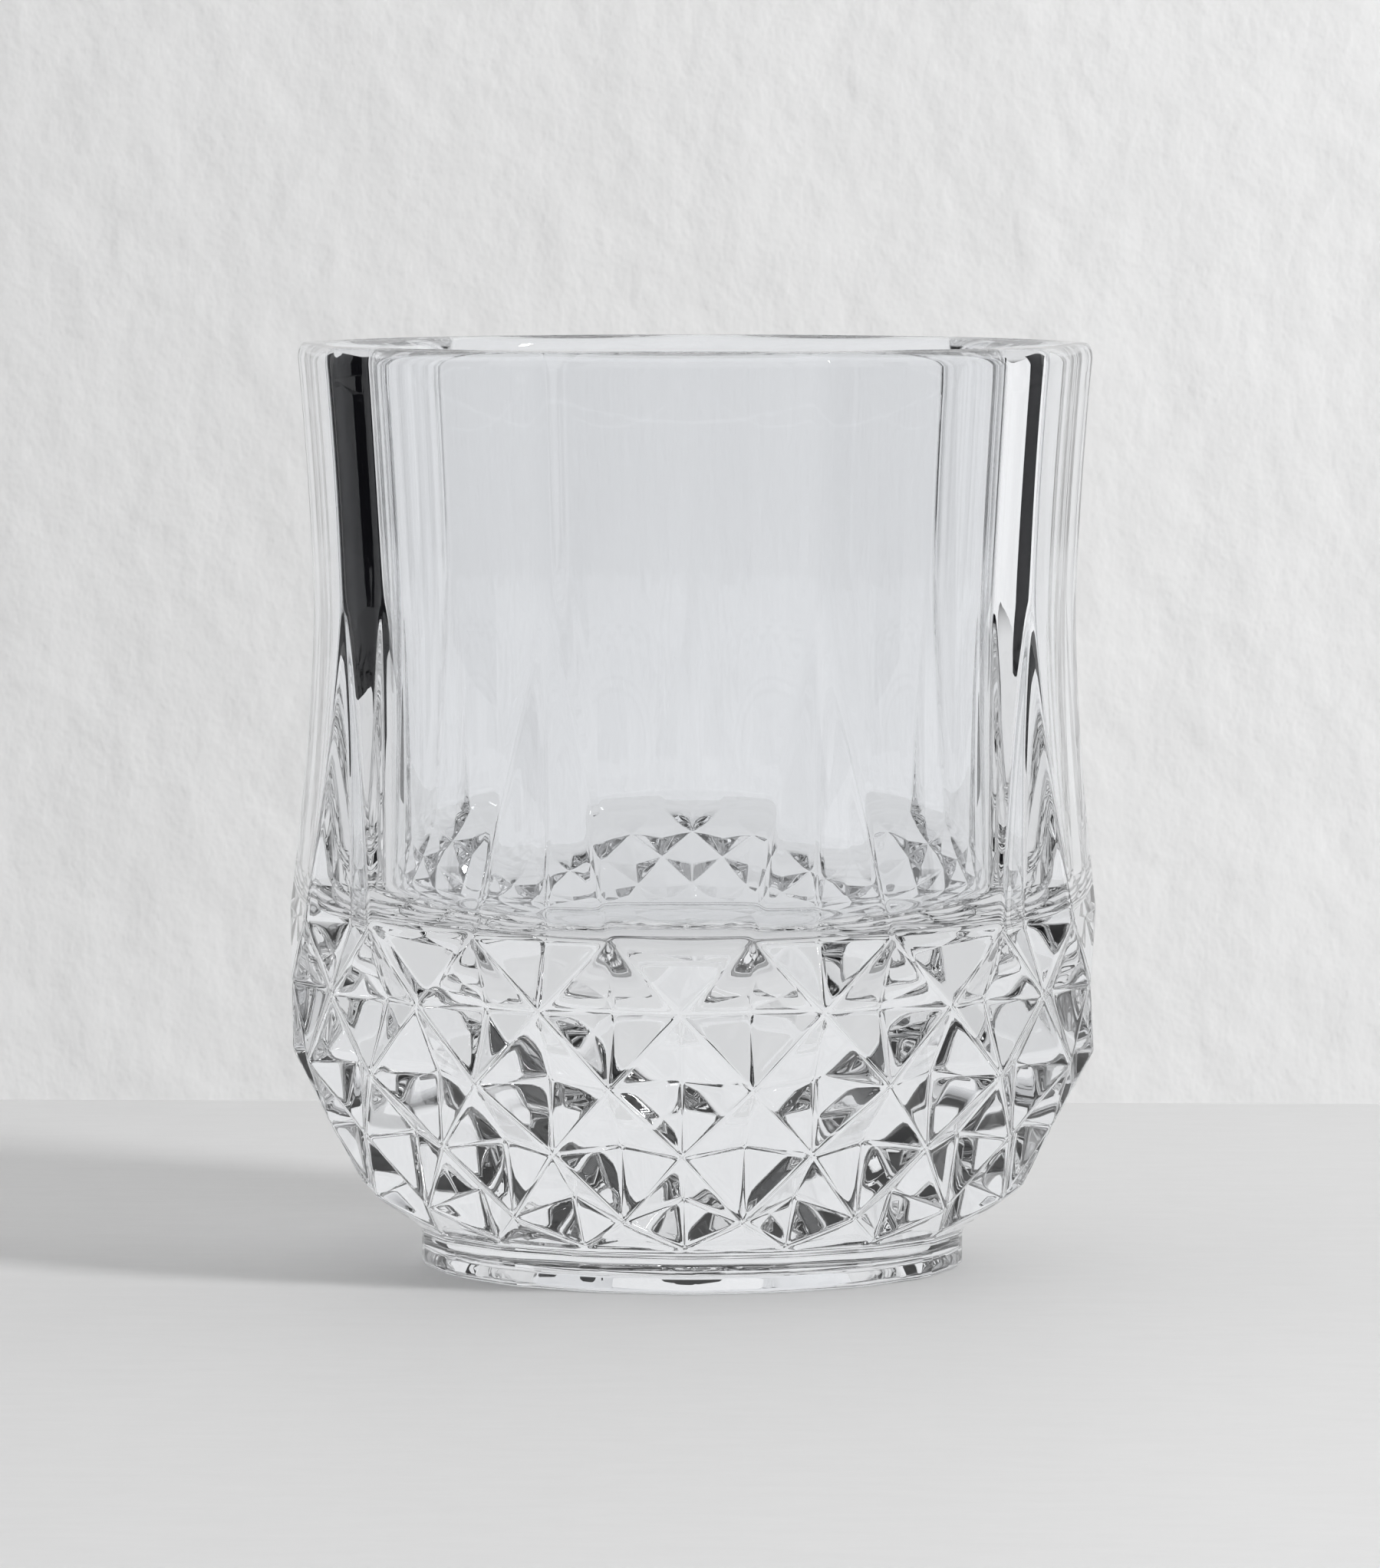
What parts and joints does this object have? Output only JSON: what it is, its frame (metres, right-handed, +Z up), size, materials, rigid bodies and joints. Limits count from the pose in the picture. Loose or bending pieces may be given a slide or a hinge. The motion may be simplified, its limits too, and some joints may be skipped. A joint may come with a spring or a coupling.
{
  "type": "whiskey tumbler",
  "caption": "Clear pressed-glass whiskey tumbler: flared flat-panelled wall over a belly of sunk diamonds, tall spike cuts between the panels, and a round foot ring.",
  "frame": {"origin": "centre of the circle that the foot ring rests on, in the resting plane", "axes": "+Z up along the glass's axis towards the rim; -Y is the front, where the middle of one flat panel faces; +X is to the right seen from the front"},
  "size_m": [0.0834, 0.0835, 0.095],
  "materials": {
    "clear_glass": "clear, colourless, fire-polished pressed glass, smooth and glossy"
  },
  "bodies": {
    "root": {"glass_body": "clear_glass"}
  },
  "joints": []
}
